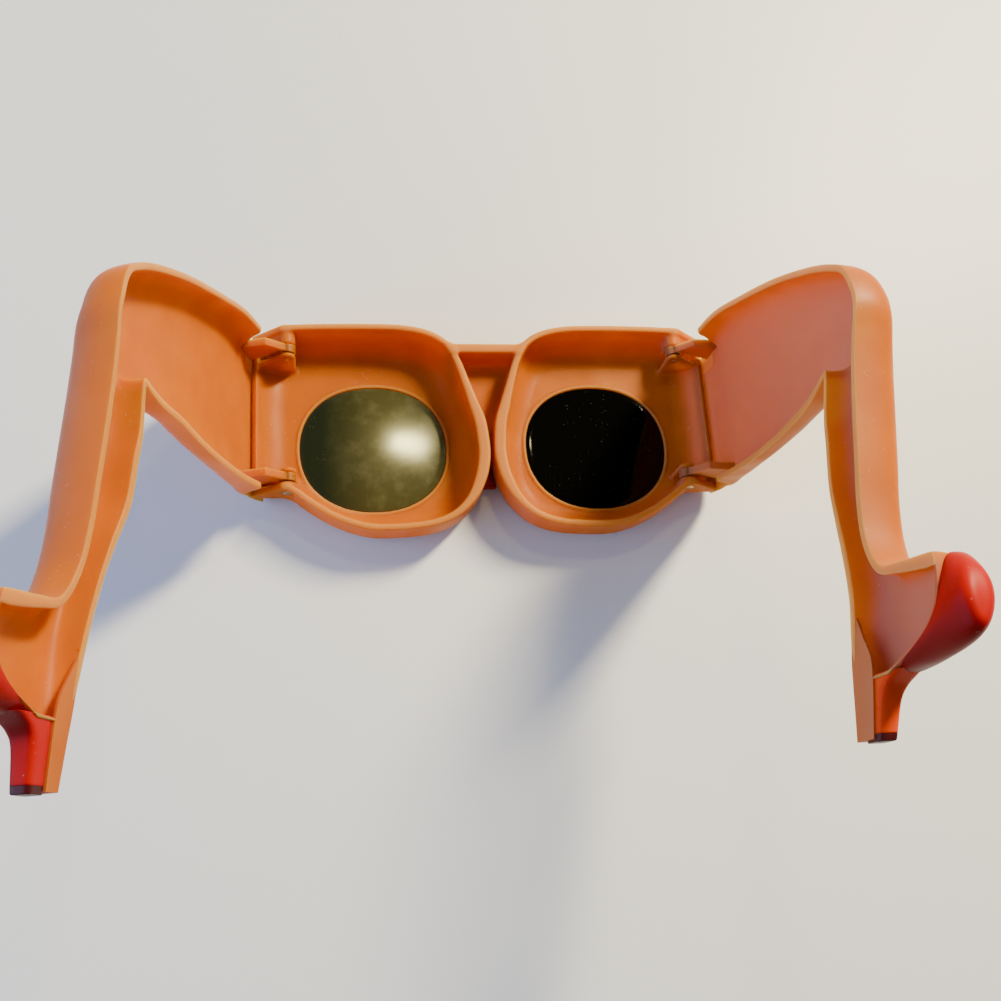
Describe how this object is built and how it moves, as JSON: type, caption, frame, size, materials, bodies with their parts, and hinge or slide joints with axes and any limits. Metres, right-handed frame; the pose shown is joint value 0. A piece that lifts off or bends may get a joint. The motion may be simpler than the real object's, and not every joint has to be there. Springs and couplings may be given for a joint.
{
  "type": "novelty sunglasses",
  "caption": "Novelty sunglasses with deep round lens cups and folding temples shaped as bent legs in red high-heeled shoes.",
  "frame": {"origin": "on the plane that the front faces of the two lens cups rest on, midway between the lenses and level with their centres", "axes": "+X to the wearer's right, +Y up when worn, +Z back towards the wearer; the glasses lie on the faces of the cups with the legs standing up, as pictured"},
  "size_m": [0.2012, 0.1359, 0.131],
  "materials": {
    "orange_plastic": "glossy, lightly worn",
    "red_plastic": "glossy",
    "dark_red_plastic": "glossy",
    "tinted_lens": "polished, dark tinted",
    "brass_pin": "drawn"
  },
  "bodies": {
    "front": {"front_frame": "orange_plastic", "bridge_panel": "dark_red_plastic", "lens_left": "tinted_lens", "lens_right": "tinted_lens", "hinge_pin_left_upper": "brass_pin", "hinge_pin_left_lower": "brass_pin", "hinge_pin_right_upper": "brass_pin", "hinge_pin_right_lower": "brass_pin"},
    "left_leg": {"leg_left": "orange_plastic", "shoe_left": "red_plastic", "heel_tip_left": "dark_red_plastic"},
    "right_leg": {"leg_right": "orange_plastic", "shoe_right": "red_plastic", "heel_tip_right": "dark_red_plastic"}
  },
  "joints": [
    {"name": "left_leg_fold", "type": "hinge", "parent": "front", "child": "left_leg", "pos_m": [-0.0588, 0.0076, 0.0115], "axis": [0, 1, 0], "range_deg": [0, 80]},
    {"name": "right_leg_fold", "type": "hinge", "parent": "front", "child": "right_leg", "pos_m": [0.0588, 0.0076, 0.0115], "axis": [0, -1, 0], "range_deg": [-11.8, 93]}
  ]
}
